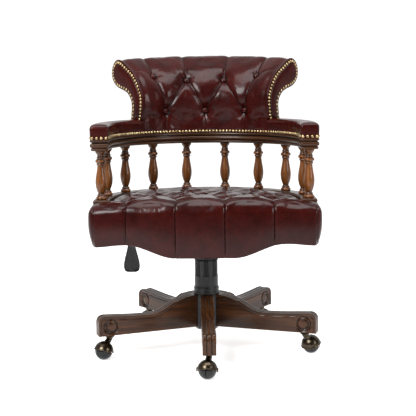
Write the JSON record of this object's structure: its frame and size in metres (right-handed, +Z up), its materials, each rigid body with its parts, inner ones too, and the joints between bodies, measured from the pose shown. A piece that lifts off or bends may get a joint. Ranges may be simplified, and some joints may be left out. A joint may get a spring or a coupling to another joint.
{
  "type": "swivel office chair",
  "caption": "Captain's swivel desk chair: rolled tufted leather back and arms on turned spindles, serpentine seat, gas lift, carved star base on ball castors.",
  "frame": {"origin": "on the floor, under the middle of the chair's bounding box; the column stands 5 mm behind it", "axes": "+Z up, +Y towards the back of the chair, so the sitter looks along -Y; +X is to the right in a front view, the sitter's left"},
  "size_m": [0.6382, 0.6709, 0.83],
  "materials": {
    "seat_leather": "glossy oxblood hide, fine grain, darker in the folds",
    "back_leather": "glossy oxblood hide, fine grain, darker in the folds",
    "walnut": "dark walnut stain under satin lacquer, darker in the mouldings",
    "turned_walnut": "walnut stain, warmer on the bulbs, dark in the coves, satin lacquer",
    "plywood": "raw plywood and softwood frame",
    "black_plastic": "satin moulded black plastic",
    "black_steel": "black powder coat",
    "bright_steel": "zinc plated and ground steel",
    "antique_bronze": "dark antique bronze plate, rubbed bright on its edges",
    "antique_brass": "aged brass upholstery nails",
    "castor_black": "hard black ball with a soft gloss"
  },
  "bodies": {
    "base": {"base_hub": "black_steel", "column_tube": "black_steel", "column_cover_lower": "black_plastic", "base_leg_1": "walnut", "base_leg_2": "walnut", "base_leg_3": "walnut", "base_leg_4": "walnut", "base_leg_5": "walnut", "castor_sleeve_1": "bright_steel", "castor_sleeve_2": "bright_steel", "castor_sleeve_3": "bright_steel", "castor_sleeve_4": "bright_steel", "castor_sleeve_5": "bright_steel"},
    "castor_1": {"castor_hood_1": "antique_bronze", "castor_axle_1": "bright_steel"},
    "castor_wheel_1": {"castor_ball_1": "castor_black"},
    "castor_2": {"castor_hood_2": "antique_bronze", "castor_axle_2": "bright_steel"},
    "castor_wheel_2": {"castor_ball_2": "castor_black"},
    "castor_3": {"castor_hood_3": "antique_bronze", "castor_axle_3": "bright_steel"},
    "castor_wheel_3": {"castor_ball_3": "castor_black"},
    "castor_4": {"castor_hood_4": "antique_bronze", "castor_axle_4": "bright_steel"},
    "castor_wheel_4": {"castor_ball_4": "castor_black"},
    "castor_5": {"castor_hood_5": "antique_bronze", "castor_axle_5": "bright_steel"},
    "castor_wheel_5": {"castor_ball_5": "castor_black"},
    "lift": {"gas_piston": "bright_steel", "column_cover_upper": "black_plastic"},
    "swivel": {"tilt_housing": "black_steel", "tilt_pin": "bright_steel", "tilt_spring": "bright_steel"},
    "knob": {"tension_knob": "black_plastic"},
    "lever": {"lever_rod": "black_steel", "lever_paddle": "black_plastic"},
    "seat": {"seat_plate": "black_steel", "seat_board": "plywood", "seat_frame": "plywood", "seat_border": "seat_leather", "seat_cushion": "seat_leather", "seat_rail": "walnut", "arm_rail": "walnut", "arm_pad_left": "back_leather", "arm_pad_right": "back_leather", "back_frame": "plywood", "back_pad": "back_leather", "back_panel": "back_leather", "back_facing_left": "back_leather", "back_facing_right": "back_leather", "spindle_01": "turned_walnut", "spindle_02": "turned_walnut", "spindle_03": "turned_walnut", "spindle_04": "turned_walnut", "spindle_05": "turned_walnut", "spindle_06": "turned_walnut", "spindle_07": "turned_walnut", "spindle_08": "turned_walnut", "spindle_09": "turned_walnut", "spindle_10": "turned_walnut"}
  },
  "joints": [
    {"name": "castor_swivel_1", "type": "hinge", "parent": "base", "child": "castor_1", "pos_m": [0.00807, -0.28349, 0.066], "axis": [0, 0, 1], "continuous": true},
    {"name": "castor_roll_1", "type": "hinge", "parent": "castor_1", "child": "castor_wheel_1", "pos_m": [0.00293, -0.30897, 0.025], "axis": [0.9803, -0.1977, 0], "continuous": true},
    {"name": "castor_swivel_2", "type": "hinge", "parent": "base", "child": "castor_2", "pos_m": [0.27724, -0.0762, 0.066], "axis": [0, 0, 1], "continuous": true},
    {"name": "castor_roll_2", "type": "hinge", "parent": "castor_2", "child": "castor_wheel_2", "pos_m": [0.29607, -0.05827, 0.025], "axis": [-0.6896, 0.7242, 0], "continuous": true},
    {"name": "castor_swivel_3", "type": "hinge", "parent": "base", "child": "castor_3", "pos_m": [0.16328, 0.24386, 0.066], "axis": [0, 0, 1], "continuous": true},
    {"name": "castor_roll_3", "type": "hinge", "parent": "castor_3", "child": "castor_wheel_3", "pos_m": [0.17062, 0.2688, 0.025], "axis": [-0.9593, 0.2823, 0], "continuous": true},
    {"name": "castor_swivel_4", "type": "hinge", "parent": "base", "child": "castor_4", "pos_m": [-0.17633, 0.23437, 0.066], "axis": [0, 0, 1], "continuous": true},
    {"name": "castor_roll_4", "type": "hinge", "parent": "castor_4", "child": "castor_wheel_4", "pos_m": [-0.18245, 0.25964, 0.025], "axis": [-0.972, -0.2351, 0], "continuous": true},
    {"name": "castor_swivel_5", "type": "hinge", "parent": "base", "child": "castor_5", "pos_m": [-0.27226, -0.09155, 0.066], "axis": [0, 0, 1], "continuous": true},
    {"name": "castor_roll_5", "type": "hinge", "parent": "castor_5", "child": "castor_wheel_5", "pos_m": [-0.2884, -0.11192, 0.025], "axis": [0.7837, -0.6211, 0], "continuous": true},
    {"name": "gas_lift", "type": "slide", "parent": "base", "child": "lift", "axis": [0, 0, 1], "range_m": [0, 0.09]},
    {"name": "seat_swivel", "type": "hinge", "parent": "lift", "child": "swivel", "pos_m": [0, 0.0054, 0.311], "axis": [0, 0, 1], "continuous": true},
    {"name": "tension_turn", "type": "hinge", "parent": "swivel", "child": "knob", "pos_m": [0, 0.0694, 0.2735], "axis": [0, 0, 1], "range_deg": [-360, 360]},
    {"name": "lift_lever", "type": "hinge", "parent": "swivel", "child": "lever", "pos_m": [-0.1, -0.0126, 0.3215], "axis": [-1, 0, 0], "range_deg": [0, 12], "stiffness_Nm_per_rad": 0.6, "springref_deg": -8.59},
    {"name": "seat_recline", "type": "hinge", "parent": "swivel", "child": "seat", "pos_m": [0, -0.0396, 0.311], "axis": [-1, 0, 0], "range_deg": [0, 10], "stiffness_Nm_per_rad": 160, "springref_deg": -14.32, "deforming": ["tilt_spring"]}
  ]
}
